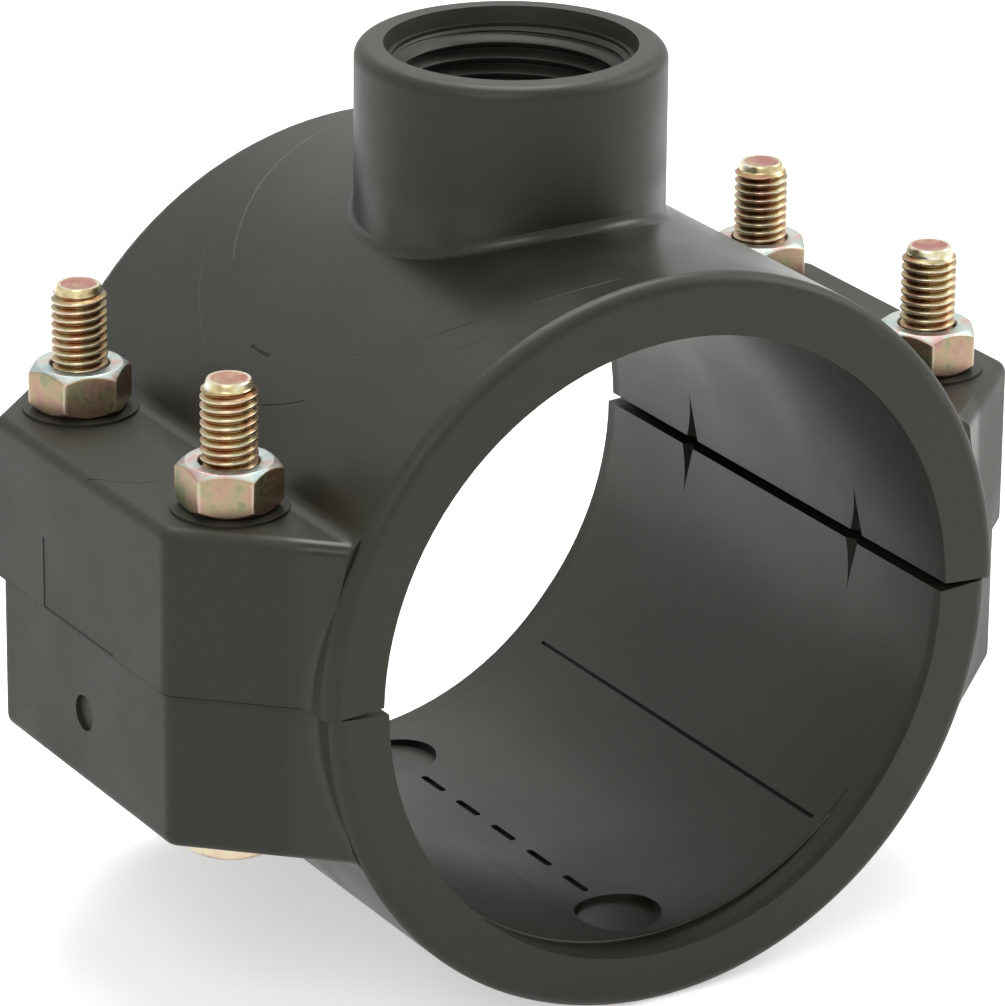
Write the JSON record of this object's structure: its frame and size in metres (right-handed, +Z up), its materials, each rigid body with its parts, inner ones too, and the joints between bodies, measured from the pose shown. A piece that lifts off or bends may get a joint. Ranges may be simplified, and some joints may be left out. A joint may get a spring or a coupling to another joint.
{
  "type": "tapping saddle",
  "caption": "Black plastic split clamp for a plastic pipe, held by steel hex bolts and nuts, with a threaded branch outlet on top.",
  "frame": {"origin": "where the pipe's axis crosses the outlet's axis, midway along the saddle", "axes": "+Y along the pipe, away from the end that the picture shows; +Z up through the outlet; +X across the bolt blocks, to the right seen from the pictured end"},
  "size_m": [0.138, 0.09, 0.1293],
  "materials": {
    "body": "charcoal black moulded plastic, satin, with finely textured block faces",
    "seal": "smooth black rubber",
    "bolts": "steel with a yellow passivated zinc coat",
    "nuts": "steel with a yellow passivated zinc coat"
  },
  "bodies": {
    "upper": {"upper_saddle": "body", "sealing_ring": "seal"},
    "lower": {"lower_saddle": "body", "bolt_front_left": "bolts", "bolt_front_right": "bolts", "bolt_rear_left": "bolts", "bolt_rear_right": "bolts"},
    "front_left_nut": {"nut_front_left": "nuts"},
    "front_right_nut": {"nut_front_right": "nuts"},
    "rear_left_nut": {"nut_rear_left": "nuts"},
    "rear_right_nut": {"nut_rear_right": "nuts"}
  },
  "joints": [
    {"name": "clamp_opening", "type": "slide", "parent": "upper", "child": "lower", "axis": [0, 0, -1], "range_m": [0, 0.0105]},
    {"name": "front_left_nut_turn", "type": "hinge", "parent": "upper", "child": "front_left_nut", "pos_m": [-0.057, -0.0222, 0.02825], "axis": [0, 0, 1], "range_deg": [0, 3025]},
    {"name": "front_right_nut_turn", "type": "hinge", "parent": "upper", "child": "front_right_nut", "pos_m": [0.057, -0.0222, 0.02825], "axis": [0, 0, 1], "range_deg": [0, 3025]},
    {"name": "rear_left_nut_turn", "type": "hinge", "parent": "upper", "child": "rear_left_nut", "pos_m": [-0.057, 0.0222, 0.02825], "axis": [0, 0, 1], "range_deg": [0, 3025]},
    {"name": "rear_right_nut_turn", "type": "hinge", "parent": "upper", "child": "rear_right_nut", "pos_m": [0.057, 0.0222, 0.02825], "axis": [0, 0, 1], "range_deg": [0, 3025]}
  ],
  "couplings": [
    {"joint": "front_left_nut_turn", "follows": "clamp_opening", "rad_per_m": 5026.5},
    {"joint": "front_right_nut_turn", "follows": "clamp_opening", "rad_per_m": 5026.5},
    {"joint": "rear_left_nut_turn", "follows": "clamp_opening", "rad_per_m": 5026.5},
    {"joint": "rear_right_nut_turn", "follows": "clamp_opening", "rad_per_m": 5026.5}
  ]
}
